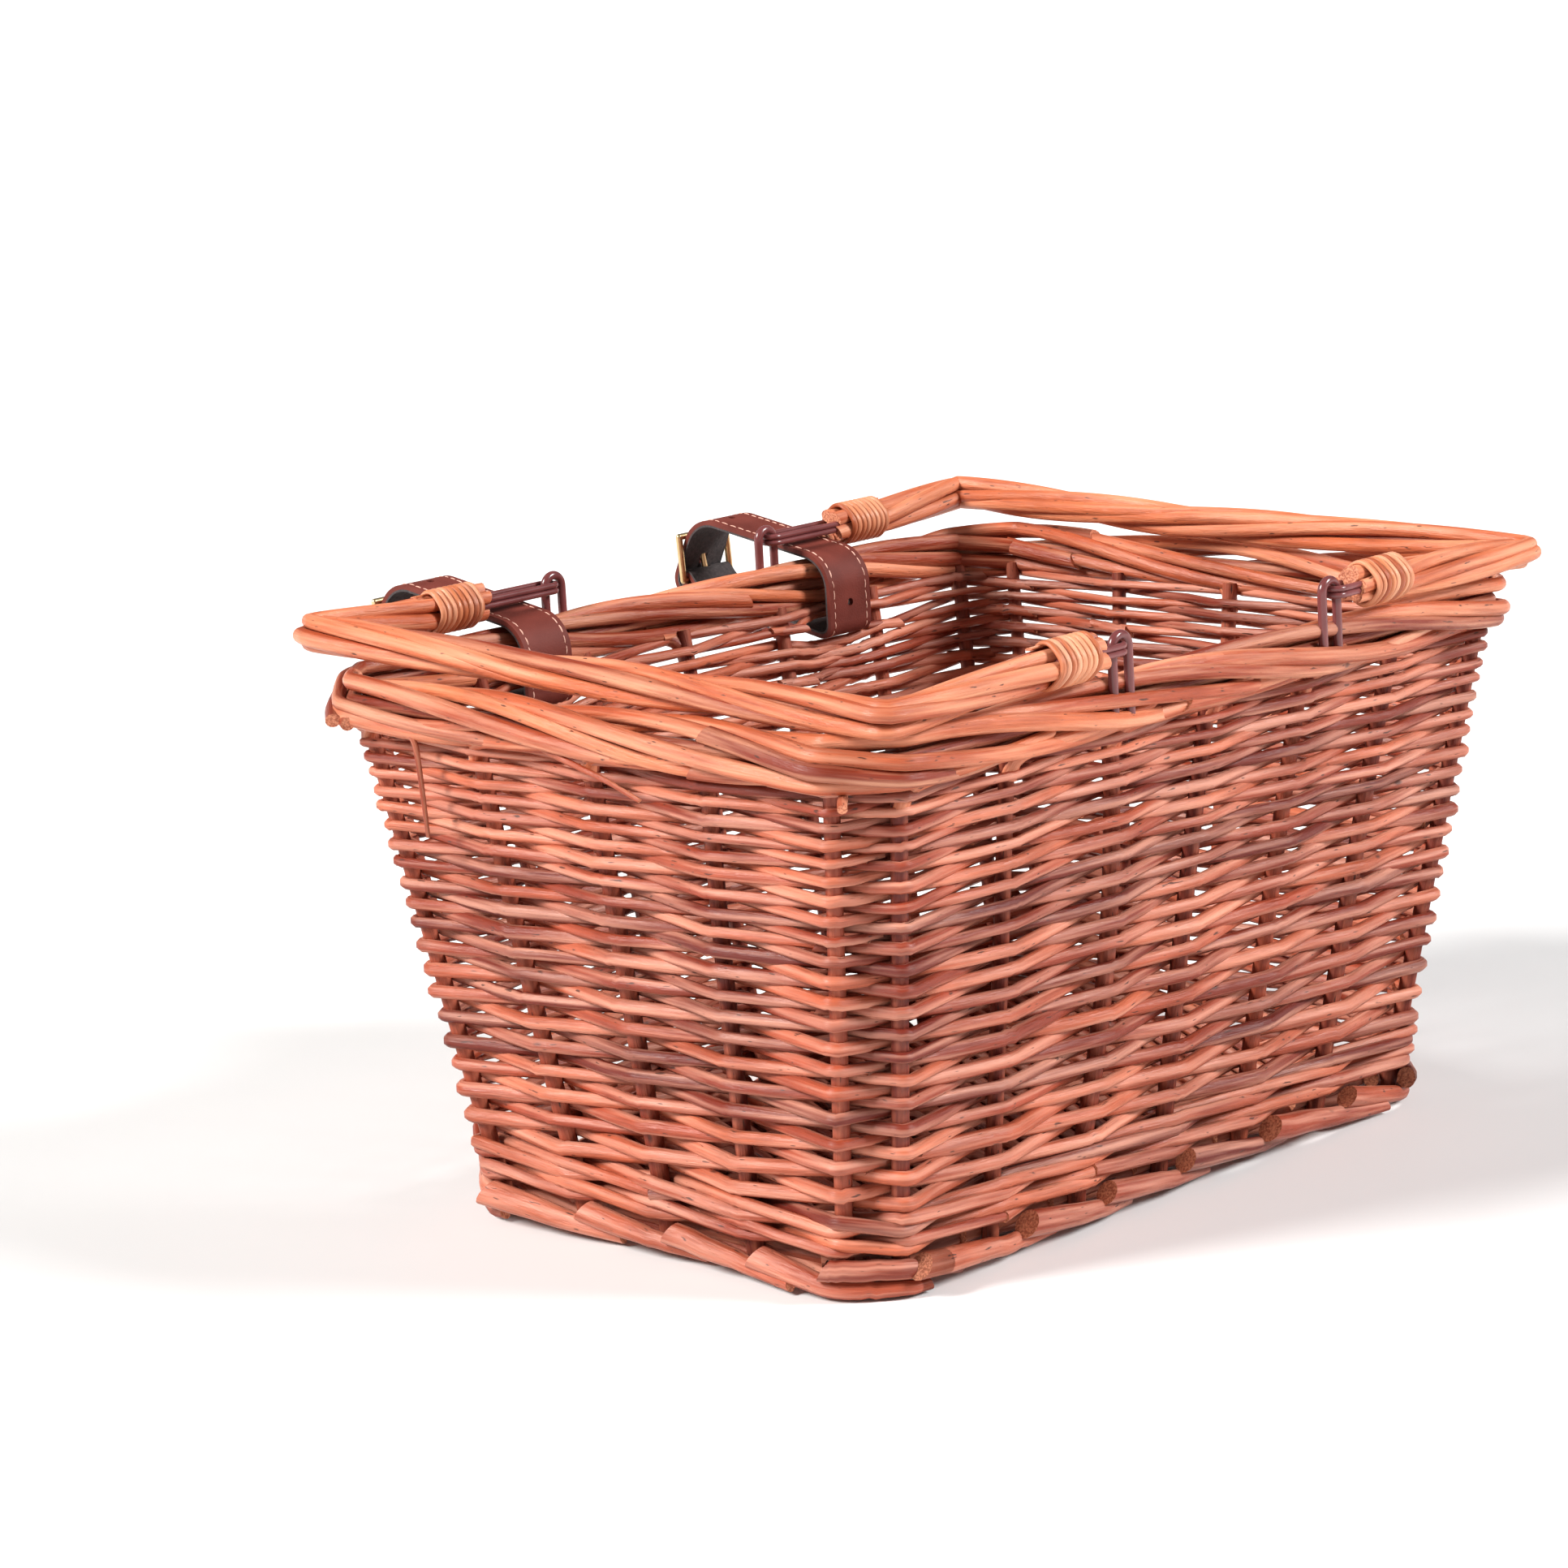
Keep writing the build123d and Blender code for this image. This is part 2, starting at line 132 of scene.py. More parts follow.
def travelled(points):
    """The distance along a line at each of its points."""
    return np.concatenate([[0], np.cumsum(np.linalg.norm(np.diff(points, axis=0), axis=1))])


CAP_RISE = 0.12                  # how far a rod's end bulges, as a share of its radius
GRAIN_SPREAD = 4000              # each rod takes its bark from its own place in the pattern


def tube(pieces, points, radius, tint, ref=UP, sides=8, flat=1.0, slant=(0.0, 0.0)):
    """A rod along points.  pieces is one Rods, or a list of (first point, last point, Rods).
    flat squashes the section along ref; slant shears the cut ends."""
    points = np.asarray(points, float)
    n = len(points)
    radius = np.broadcast_to(radius, n)
    tangent = unit(np.gradient(points, axis=0))
    side = unit(np.cross(tangent, np.broadcast_to(ref, (n, 3))))
    up = np.cross(side, tangent)
    turn = np.linspace(0, 2 * pi, sides, endpoint=False) + pi / sides
    c, s = np.cos(turn), np.sin(turn)
    radial = side[:, None] * c[None, :, None] + up[:, None] * (s * flat)[None, :, None]
    rings = points[:, None] + radial * radius[:, None, None]
    normal = unit(side[:, None] * c[None, :, None] + up[:, None] * (s / flat)[None, :, None])
    for at, lean in ((0, slant[0]), (n - 1, slant[1])):
        rings[at] += tangent[at] * (s * lean * radius[at])[:, None]
    travel = travelled(points)
    start = RNG.uniform(0, GRAIN_SPREAD, 3)
    grain = np.stack([np.broadcast_to(c, (n, sides)) * radius[:, None],
                      np.broadcast_to(s, (n, sides)) * radius[:, None],
                      np.broadcast_to(travel[:, None], (n, sides))], axis=-1) + start
    if isinstance(pieces, Rods):
        pieces = [(0, n - 1, pieces)]
    for first, last, rods in pieces:
        if last <= first:
            continue
        faces = [(i * sides + (j + 1) % sides, i * sides + j, (i + 1) * sides + j,
                  (i + 1) * sides + (j + 1) % sides) for i in range(last - first) for j in range(sides)]
        part = slice(first, last + 1)
        rods._add(rings[part].reshape(-1, 3), normal[part].reshape(-1, 3), faces, tint,
                  grain[part].reshape(-1, 3), 0.0)
        for at, way, wanted in ((0, -1, first == 0), (n - 1, 1, last == n - 1)):
            if not wanted:
                continue
            middle = rings[at].mean(axis=0) + tangent[at] * way * CAP_RISE * radius[at]
            verts = np.vstack([rings[at], middle])
            ring = range(sides) if way < 0 else range(sides)[::-1]
            cap = [(ring[i - 1], ring[i], sides) for i in range(sides)]
            facing = np.broadcast_to(tangent[at] * way, verts.shape)
            rods._add(verts, facing, cap, tint, np.vstack([grain[at], grain[at].mean(axis=0)]), 1.0)


def smooth(points, rounds=2):
    """Chaikin's corner cutting, which keeps both ends."""
    points = np.asarray(points, float)
    for _ in range(rounds):
        near = points[:-1] * 0.75 + points[1:] * 0.25
        far = points[:-1] * 0.25 + points[1:] * 0.75
        points = np.vstack([points[:1], np.stack([near, far], axis=1).reshape(-1, 3), points[-1:]])
    return points


# ---------------------------------------------------------------- the woven body's outline
def outline(z, inset):
    """The eight corners of the octagon at height z, moved inwards by inset."""
    (z0, low), (z1, high) = sorted(OUTLINE.items())
    x, y, cut_x = (a + (b - a) * (z - z0) / (z1 - z0) for a, b in zip(low, high))
    cut = x - cut_x - inset * (2 - sqrt(2))
    x, y = x - inset, y - inset
    corners = [(x - cut, -y), (x, cut - y), (x, y - cut), (x - cut, y)]
    return np.array(corners + [(-a, -b) for a, b in corners])


# Each wall from its first corner of the octagon to its last, and how many stakes stand in it.
WALL_ENDS = {"front": (7, 0, LONG), "right": (1, 2, SHORT), "rear": (3, 4, LONG), "left": (5, 6, SHORT)}
WALL_OF = [name for name, (_, _, count) in WALL_ENDS.items() for _ in range(count)]
STAKES = len(WALL_OF)
CORNERS = (LONG - 1, LONG + SHORT - 1, STAKES - SHORT - 1, STAKES - 1)   # stakes with a cut corner after them
# The weave's four shares: the short walls take the cut corners with them.
SHARES = {"front": (0, LONG - 1), "right": (LONG - 1, LONG + SHORT),
          "rear": (LONG + SHORT, STAKES - SHORT - 1), "left": (STAKES - SHORT - 1, STAKES)}

LEANING_STAKE, LEANING_BY = 2, 7.0   # one stake of the front wall leans over
BOW_FOOT, BOW_HEIGHT = 25, 150   # where the stakes start to bow, and over what height
LEAN = RNG.normal(0, 1.0, STAKES)
LEAN[LEANING_STAKE] = LEANING_BY
LEAN[[i % STAKES for corner in CORNERS for i in (corner, corner + 1)]] *= 0.3


def stake_places():
    """For each stake, its wall's two corners and its share of the way between them; and how it faces."""
    places, outward = [], []
    corners = outline(100, 0)        # the walls face the same way at every height
    for first, last, count in WALL_ENDS.values():
        along = unit(corners[last] - corners[first])
        places += [(first, last, i / (count - 1)) for i in range(count)]
        outward += [(along[1], -along[0])] * count
    outward = np.array(outward)
    for i in CORNERS:
        after = (i + 1) % STAKES
        chamfer = unit(outward[i] + outward[after])
        outward[i], outward[after] = unit(outward[i] + chamfer), unit(outward[after] + chamfer)
    return places, outward


PLACES, OUTWARD = stake_places()
ALONG = np.stack([-OUTWARD[:, 1], OUTWARD[:, 0]], axis=1)


def stake_at(i, z):
    """Centre of stake i at height z, in X and Y."""
    first, last, share = PLACES[i % STAKES]
    corners = outline(z, WALL / 2)
    lean = LEAN[i % STAKES] * sin(pi * min(1, max(0, (z - BOW_FOOT) / BOW_HEIGHT))) ** 0.8
    return corners[first] + (corners[last] - corners[first]) * share + ALONG[i % STAKES] * lean


STRAP_X = abs(RECORD["mounts"][0]["pos_m"][0]) * 1000
STRAP_HALF = RECORD["mounts"][0]["dims"]["length_mm"] / 2
STRAP_BAYS = (13, 16)            # the rear wall's stakes before each strap
SLOT_LOW, SLOT_HIGH = 167.4, 174.0   # the slots that the straps pass through
SLOT_REACH = 152.0               # the rows above this height part for them


def slot_opening(z, r, weight):
    """Rows of the rear wall part above and below the straps' slots."""
    middle = (SLOT_LOW + SLOT_HIGH) / 2
    if z < middle:
        share = max(0.0, (z - SLOT_REACH) / (middle - SLOT_REACH))
        aim = min(z, SLOT_REACH + (SLOT_LOW - r - SLOT_REACH) * share) if share else z
    else:
        low = SLOT_HIGH + r
        aim = low + (WEAVE_TOP - 0.5 - low) * (z - middle) / (WEAVE_TOP - middle)
    return z + (aim - z) * weight


# ---------------------------------------------------------------- weave, wale, borders
def bends(points, reach):
    """A polyline with a short round bend at each corner, and two points on each straight run."""
    line = [points[0]]
    for a, b, c in zip(points, points[1:], points[2:]):
        near = min(reach, np.linalg.norm(b - a) * 0.45)
        far = min(reach, np.linalg.norm(c - b) * 0.45)
        enter, leave = b - unit(b - a) * near, b + unit(c - b) * far
        line.append(line[-1] * (1 - 0.33) + enter * 0.33)
        line.append((line[-1] + enter) / 2)
        line += [enter * (1 - t) ** 2 + b * 2 * t * (1 - t) + leave * t ** 2
                 for t in (0.0, 0.25, 0.5, 0.75, 1.0)]
    line.append(points[-1])
    return np.array(line)


def thread(rods, stations, radius, tint, sides=8, reach=3.2, slant=(0, 0), uneven=0.12):
    """A rod through stations (stake number, depth outward, height, run along the wall), cut where the
    walls' shares meet.  radius is a list of radii from end to end; uneven is how far it strays."""
    points = []
    for i, depth, z, run in stations:
        at, part = int(i), i - int(i)
        base = stake_at(at, z) * (1 - part) + (stake_at(at + 1, z) * part if part else 0)
        xy = base + OUTWARD[at % STAKES] * depth + ALONG[at % STAKES] * run
        points.append(np.array((*xy, z, i)))
    line = bends(points, reach)
    numbers, line = line[:, 3], line[:, :3]
    line = line + RNG.normal(0, uneven, line.shape) * (0.4, 0.4, 1.0)
    travel = travelled(line)
    thick = np.interp(travel / travel[-1], np.linspace(0, 1, len(radius)), radius)
    shares = []
    for turn in range(-1, 3):
        for name, (low, high) in SHARES.items():
            begin, stop = low + turn * STAKES, high + turn * STAKES
            inside = np.nonzero((numbers >= begin) & (numbers <= stop))[0]
            if len(inside) > 0:
                last = min(len(line) - 1, inside[-1] + 1) if numbers[-1] > stop else inside[-1]
                shares.append((inside[0], last, rods[name]))
    tube(shares, line, thick, tint, sides=sides, slant=slant)


ROWS = 40
ROW_PITCHES = 4.9, 2.75          # wide at the foot, squeezed under the top border
ROWS_ABOVE, ROWS_BELOW = 2.6, 1.7    # from the weave's foot to the first row, and from the last to its top


def rows():
    """Heights of the weave's rows, spread to fill the walls."""
    z = WEAVE_Z + ROWS_ABOVE + np.concatenate([[0], np.cumsum(np.linspace(*ROW_PITCHES, ROWS - 1))])
    return z + (WEAVE_TOP - ROWS_BELOW - z[-1]) * (np.arange(ROWS) / (ROWS - 1))


ROW_Z = rows()
WAVES = RNG.uniform(0, 2 * pi, (4, 2))
SWAY = 1.3
WEAVER_R, WEAVER_TAPER = 2.5, 0.8    # radius in the lowest row, and how much less in the highest


def sway(i, z):
    """Slow rise and fall of the rows round the basket."""
    height = (z - WEAVE_Z) / (WEAVE_TOP - WEAVE_Z)
    fade = sin(pi * min(1.0, max(0.0, height))) ** 0.7
    wave = sum(sin((n + 2) * 2 * pi * i / STAKES + a + height * 2.2 * (n + 1) + b) / (n + 1.5)
               for n, (a, b) in enumerate(WAVES))
    return SWAY * fade * wave


def four_walls():
    """An empty set of rods for each wall."""
    return {name: Rods() for name in WALL_ENDS}


def weave():
    """Two rods to a row, in front of one stake and behind the next, with their ends tucked in; beside
    the straps the rows part round the slots."""
    rods = four_walls()
    for k, z in enumerate(ROW_Z):
        share = k / (len(ROW_Z) - 1)
        thick = (WEAVER_R - WEAVER_TAPER * share) * RNG.normal(1, 0.05)
        start = int(RNG.integers(0, STAKES))
        start += (start + k + 1) % 2
        lengths = (10, 14) if RNG.random() < 0.5 else (14, 10)
        jitter = RNG.normal(0, 0.4, STAKES)
        depth_jitter = RNG.normal(0, 0.25, STAKES)
        for length in lengths:
            stations = []
            for i in range(start, start + length + 1):
                out = 1 if (i + k) % 2 == 0 else -1
                reach = out * (STAKE_R + thick - 0.2) + depth_jitter[i % STAKES]
                height = z + sway(i, z) + jitter[i % STAKES]
                by_strap = i % STAKES in STRAP_BAYS or i % STAKES - 1 in STRAP_BAYS
                stations.append((i, reach, slot_opening(height, thick, 0.35 if by_strap else 0.0), 0.0))
                if i % STAKES in STRAP_BAYS and i < start + length:
                    for part in (0.3, 0.72):
                        across = reach * (1 - 2 * part) * (0.6 if z > SLOT_LOW else 1)
                        stations.append((i + part, across, slot_opening(height, thick, 1.0), 0.0))
            first, last = stations[0], stations[-1]
            stations[0] = (first[0], first[1] - 0.6, first[2] - 0.8, -9.0)
            stations.insert(1, (first[0], first[1], first[2], 3.0))
            stations[-1:] = [(last[0], last[1], last[2], -3.0), (last[0], last[1] - 0.2, last[2] + 1.0, 10.0)]
            taper = np.array((1.12, 1.05, 1.0, 0.95, 0.85)) * thick
            thread(rods, stations, taper, RNG.random(), slant=(0.8, 0.5))
            start += length
    return rods


WALER_R = 2.3


def wale():
    """Two rounds of three rods, each in front of two stakes and behind the third."""
    rods = four_walls()
    middle = (WALE_Z + WEAVE_Z) / 2
    for level, z in enumerate((middle - 3.6, middle + 4.1)):
        for m in range(3):
            thick = WALER_R * RNG.normal(1, 0.05)
            start = m + level * 7
            for length in (STAKES // 2, STAKES // 2):
                stations = []
                for i in range(start, start + length + 1):
                    phase = (i + m) % 3
                    reach = (-(STAKE_R + thick), STAKE_R + thick + 0.5, STAKE_R + thick)[phase]
                    height = z + (0.4, 2.3, -1.9)[phase] + RNG.normal(0, 0.35)
                    stations.append((i, reach, height, 0.0))
                thread(rods, stations, np.array((1.1, 1.0, 0.85)) * thick, RNG.random(), reach=4.0)
                start += length
    return rods


BORDER_R = 3.9
FOOT_HIGH, FOOT_LOW = 10.2, 2.9  # where a rod of the bottom border starts, and where it ends


def bottom_border():
    """Thick rods, each starting with a slanting cut over the last one and tapering down to the foot."""
    rods = four_walls()
    for i in range(STAKES):
        thick = BORDER_R * RNG.normal(1, 0.07)
        outer = STAKE_R + thick
        high, low = FOOT_HIGH + RNG.normal(0, 0.5), FOOT_LOW
        taper = (1.1, 1.05, 0.9, 0.72, 0.5)
        if i in CORNERS:
            route = [(i, outer + 0.8, high, -5), (i, outer + 0.4, high - 0.2, 0),
                     (i + 1, outer + 0.4, high - 0.8, 1), (i + 2, outer - 3.0, low, -20)]
            taper = (0.95, 0.95, 0.9, 0.8, 0.55)
        elif i + 1 in CORNERS:
            route = [(i, outer + 1.2, high, 8), (i + 1, outer + 0.6, low + 0.6, -1),
                     (i + 2, outer + 0.2, low + 0.3, 0), (i + 2, outer - 2.2, low, 8)]
            taper = (1.1, 1.0, 0.8, 0.72, 0.55)
        else:
            route = [(i, outer + 1.2, high + 0.8, 6 + RNG.normal(0, 2)), (i + 1, outer + 0.4, high - 4.4, 2),
                     (i + 2, outer - 3.4, low, -20 + RNG.normal(0, 3))]
        thread(rods, route, np.array(taper) * thick, RNG.random(), sides=14, reach=9.0,
               slant=(0.55, -0.4), uneven=0.15)
        inner = [(i, -outer + 2.0, high, -10), (i + 1, -outer, high - 1.6, 0),
                 (i + 2, -outer + 1.0, low + 1.0, -6)]
        thread(rods, inner, np.array((0.8, 0.75, 0.65)) * thick, RNG.random(), reach=6.0)
    return rods


def stakes():
    """The upright rods, from the foot into the top border."""
    rods = four_walls()
    for i, wall in enumerate(WALL_OF):
        heights = np.linspace(2.0, RIM_LOW + 2, 26)
        line = [(*stake_at(i, z), z) for z in heights]
        thick = STAKE_R * RNG.normal(1, 0.04) * np.linspace(1.05, 0.93, len(line))
        tube(rods[wall], line, thick, RNG.random(), ref=np.array((*OUTWARD[i], 0.0)), sides=12)
    return rods


# ---------------------------------------------------------------- twisted bundles: top border, handles
def resample(points, step):
    """The same line with points about step apart, and the distance along it at each."""
    points = np.asarray(points, float)
    travel = travelled(points)
    count = max(2, int(round(travel[-1] / step)) + 1)
    at = np.linspace(0, travel[-1], count)
    return np.stack([np.interp(at, travel, points[:, i]) for i in range(3)], axis=1), at


def kinked(points, radius):
    """A polyline with short bends instead of corners."""
    points = [np.asarray(p, float) for p in points]
    line = [points[0]]
    for a, b, c in zip(points, points[1:], points[2:]):
        line += [b - unit(b - a) * radius, b + unit(c - b) * radius]
    return smooth(line + [points[-1]], 2)


def strand(path, travel, angle, spread, wobble, seed):
    """One rod of a bundle round path, at an angle that changes along it; spread is (side, up)."""
    rng = np.random.default_rng(seed)
    tangent = unit(np.gradient(path, axis=0))
    side = unit(np.cross(tangent, UP))
    phases = rng.uniform(0, 2 * pi, 4)
    noise = [wobble * (np.sin(travel / 47 + phases[j]) + 0.6 * np.sin(travel / 21 + phases[j + 2]))
             for j in (0, 1)]
    return (path + side * (np.cos(angle) * spread[0] + noise[0])[:, None]
            + UP * (np.sin(angle) * spread[1] + noise[1])[:, None])


RIM_TOP_Z, RIM_FOOT_Z = 198.0, 177.8     # of the twisted rods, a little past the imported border
RIM_RODS, RIM_LENGTHS, RIM_TURN = 6, 3, 300.0
RIM_ROD_R = 2.9                  # keeps the rods' skins between those heights
RIM_BUTT_R, RIM_ROD_TAPER = 3.15, 0.75
RIM_CORE_R = 2.6
RIM_STEP, HANDLE_STEP, TWIG_STEP, BENT_TOP_STEP = 2.6, 2.6, 1.5, 3.0     # between a rod's rings


def top_border():
    """Six rods round the top, each in three lengths, twisting slowly and kinked at the cut corners."""
    rods = four_walls()
    inset = (RIM_HIGH - RIM_LOW) / 2
    z = (RIM_TOP_Z + RIM_FOOT_Z) / 2
    corners = outline(WEAVE_TOP, 0)
    x, y = RIM_X - inset, RIM_Y - inset
    cut = corners[1][0] - corners[0][0]
    ring = [(x - cut, -y), (x, cut - y), (x, y - cut), (x - cut, y)]
    ring = [(a, b, z) for a, b in ring + [(-a, -b) for a, b in ring]]
    start = np.array((0.0, -y, z))
    path, travel = resample(kinked([start, *ring, start], 1.6), RIM_STEP)
    total = travel[-1]
    path = np.vstack([path[:-1]] * 3)
    travel = np.concatenate([travel[:-1] + total * t for t in range(3)])
    turns = round(total / RIM_TURN)
    for m in range(RIM_RODS):
        for n in range(RIM_LENGTHS):
            low = total * (0.13 + 0.17 * m + n / RIM_LENGTHS)
            part = (travel >= low) & (travel <= low + total / RIM_LENGTHS + 40)
            line, at = path[part], travel[part]
            share = (at - at[0]) / (at[-1] - at[0])
            thick = RIM_BUTT_R - RIM_ROD_TAPER * share + 0.12 * np.sin(at / 31 + m) + RNG.normal(0, 0.12)
            angle = 2 * pi * m / RIM_RODS - 2 * pi * turns * at / total + 0.25 * np.sin(at / 57 + 2 * m)
            spread = (inset - RIM_ROD_R, (RIM_TOP_Z - RIM_FOOT_Z) / 2 - RIM_ROD_R)
            line = strand(line, at, angle, spread, 0.35, 100 + 10 * m + n)
            tube(rim_shares(line, rods), line, thick, RNG.random(), sides=14, slant=(0.7, 0.6))
    core = (travel >= total) & (travel <= 2 * total)
    tube(rim_shares(path[core], rods), path[core], RIM_CORE_R, 0.0, sides=8)
    bent_tops(rods)
    loose_ends(rods["left"])
    return rods


def bent_tops(rods):
    """The stakes' own tops, bent over along the wall to join the border's underside."""
    steps = ((0, 0, -9.0), (1, 1.5, -2.0), (9, 6.0, 1.0), (24, 8.0, 1.8), (44, 8.4, 3.0), (66, 7.4, 5.0))
    for i in range(STAKES):
        base = stake_at(i, WEAVE_TOP)
        along = unit(stake_at(i + 1, WEAVE_TOP) - base)
        out = np.array((along[1], -along[0]))
        lift = RNG.normal(0, 0.6)
        if i in CORNERS or i + 1 in CORNERS:
            continue
        line = [np.array((*(base + along * run + out * depth), WEAVE_TOP + rise + lift))
                for run, depth, rise in steps]
        line, _ = resample(smooth(line, 3), BENT_TOP_STEP)
        thick = np.interp(np.linspace(0, 1, len(line)), (0, 0.3, 1), (2.9, 2.6, 1.7))
        tube(rim_shares(line, rods), line, thick, RNG.random(), sides=10, slant=(0, 0.8))


def loose_ends(rods):
    """What the maker left on the left wall: a hanging twig, a sliver under the border, and cut stubs."""
    rear, middle, front = (i for i, wall in enumerate(WALL_OF) if wall == "left" and i % 2)
    along, out = ALONG[rear + 1], OUTWARD[rear + 1]

    def rod(stake, places, thick, tint, sides=10):
        """Through places (run along the wall, depth outward, height), measured from a stake's top."""
        line = [np.array((*(stake_at(stake, WEAVE_TOP) + along * run + out * depth), WEAVE_TOP + rise))
                for run, depth, rise in places]
        line, _ = resample(smooth(line, 3), TWIG_STEP)
        tube(rods, line, np.linspace(*thick, len(line)), tint, sides=sides, slant=(0.3, 0.3))

    rod(rear, ((18, 7, 3), (27, 9, 2), (34, 9.3, -1), (35, 9, -10), (36, 8, -36)), (1.3, 0.75), 0.15)
    rod(middle, ((-14, 8.6, 2), (-2, 9.2, -1.5), (18, 9.6, -6), (34, 10.6, -11)), (1.3, 0.8), 0.3)
    rod(rear, ((-22, -6, 6), (-12, 6, 4), (-2, 14.5, 2.5)), (2.7, 2.7), 0.1, sides=14)
    rod(rear, ((-16, -2, 3), (-6, 7, 2), (4, 13, 1.5)), (2.5, 2.5), 0.1, sides=14)
    rod(front, ((6, 1, -3), (10, 6, -4), (13, 9, -4.5)), (1.7, 1.7), 0.2)


def rim_shares(line, rods):
    """Cut a rod of the top border where the long walls meet the cut corners."""
    edge = outline(WEAVE_TOP, 0)[0][0]
    names = []
    for x, y, _ in line:
        if abs(x) <= edge:
            names.append("front" if y < 0 else "rear")
        else:
            names.append("right" if x > 0 else "left")
    shares, first = [], 0
    for i in range(1, len(names) + 1):
        if i == len(names) or names[i] != names[first]:
            shares.append((first, min(i, len(names) - 1), rods[names[first]]))
            first = i
    return shares


HOOP_RODS, HOOP_TURN = 5, 290.0
HOOP_HALF = 7.05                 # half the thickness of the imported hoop
HOOP_CORE_R = 2.0
BINDING_IN = 3.7                 # from the rods' ends to the binding


def handle(side):
    """Five twisted rods from the front binding round the hoop to the rear one; like bent willow it
    lies a little low along the grip and stands off at the rear corner."""
    rods = Rods()
    hand = "right" if side > 0 else "left"
    low, high = box(f"{hand}_handle_outer_top_rod")
    x, y, z = max(abs(low[0]), abs(high[0])) - HOOP_HALF, high[1] - HOOP_HALF, HINGE_Z
    front, rear = (min(abs(corner[0]) for corner in box(f"{hand}_handle_{end}_binding")) - BINDING_IN
                   for end in ("front", "rear"))
    corners = [(front, -y, z), (front + 28, -y, z - 1.2), (x + 4, -y - 1.5, z - 3.4), (x + 2, y * 0.2, z - 1.8),
               (x + 3.5, y + 3.0, z + 2.2), (rear + 30, y, z), (rear, y, z)]
    path, travel = resample(kinked([(side * a, b, c) for a, b, c in corners], 1.8), HANDLE_STEP)
    reach = HOOP_HALF - 0.1
    for m in range(HOOP_RODS):
        angle = 2 * pi * m / HOOP_RODS + side * 2 * pi * travel / HOOP_TURN + 0.3 * np.sin(travel / 61 + 2 * m)
        share = travel / travel[-1]
        thick = (3.1 - 0.55 * share if m % 2 else 2.5 + 0.55 * share) + 0.1 * np.sin(travel / 33 + m)
        ease = np.clip(np.minimum(travel, travel[-1] - travel) / 40, 0, 1)
        line = strand(path, travel, angle, (reach - 2.8, reach - 2.9), 0.3 * ease, 300 + 10 * m + int(side))
        tube(rods, line, thick, RNG.random(), sides=14, slant=(0.3, 0.3))
    tube(rods, path, HOOP_CORE_R, 0.0)
    return rods


CANE_TURNS, CANE_STEPS = 8, 40   # turns of the binding, and rings in each turn
CANE_FLAT = 0.72


def cane_binding(side, end):
    """Cane wound tightly round the handle's rods and over its own end, which shows a little on both sides."""
    hand, place = "right" if side > 0 else "left", "rear" if end > 0 else "front"
    low, high = box(f"{hand}_handle_{place}_binding")
    x0, x1 = sorted((abs(low[0]), abs(high[0])))
    y, z = (low[1] + high[1]) / 2, (low[2] + high[2]) / 2
    reach = (high[2] - low[2]) / 2 - 0.2
    rods = Rods()

    def around(x, angle, r):
        radial = np.stack([np.zeros_like(angle), np.cos(angle), np.sin(angle)], axis=1)
        return np.stack([x, y + np.cos(angle) * r, z + np.sin(angle) * r], axis=1), radial

    pitch = (x1 - x0 - 1.5) / CANE_TURNS
    angle = np.linspace(0, 2 * pi * CANE_TURNS, CANE_STEPS * CANE_TURNS + 1)
    t = angle / (2 * pi)
    x = side * (x0 + 0.75 + pitch * t * (CANE_TURNS - 0.5) / CANE_TURNS + pitch * 0.25)
    line, radial = around(x, angle, (reach - 0.85) * (1 + 0.045 * np.cos(4 * angle)))
    for turn in range(CANE_TURNS):
        part = slice(CANE_STEPS * turn, CANE_STEPS * (turn + 1) + 1)
        tube(rods, line[part], pitch * 0.45, RNG.random(), ref=radial[part], sides=12, flat=CANE_FLAT)
    line, radial = around(side * np.linspace(x0 - 2.2, x1 + 2.5, 12), np.linspace(0.9, 1.2, 12), reach - 1.5)
    tube(rods, line, 1.3, RNG.random(), ref=radial, sides=10, flat=0.45, slant=(0.5, 0.5))
    return rods


# ---------------------------------------------------------------- stitches along the straps
STRAP_T, LAYER_GAP, FOLD_R = 2.5, 0.4, 1.4      # its thickness, the gap between its layers, its fold
SLOT_Z, SLOT_BEND, RIM_BEND, RIM_BEND_Z = 170.5, 3.0, 12.0, 187.1
TAIL_Y, TAIL_LAYERS = 147.0, 5.95    # where the tail ends, and what lies between it and the bar
STITCH_IN = 2.4                  # from the strap's edge
STITCH, STITCH_GAP, STITCH_R = 2.9, 0.9, 0.3
STITCH_SINK = 0.26               # a stitch's ends go into the leather and its middle lies level with it


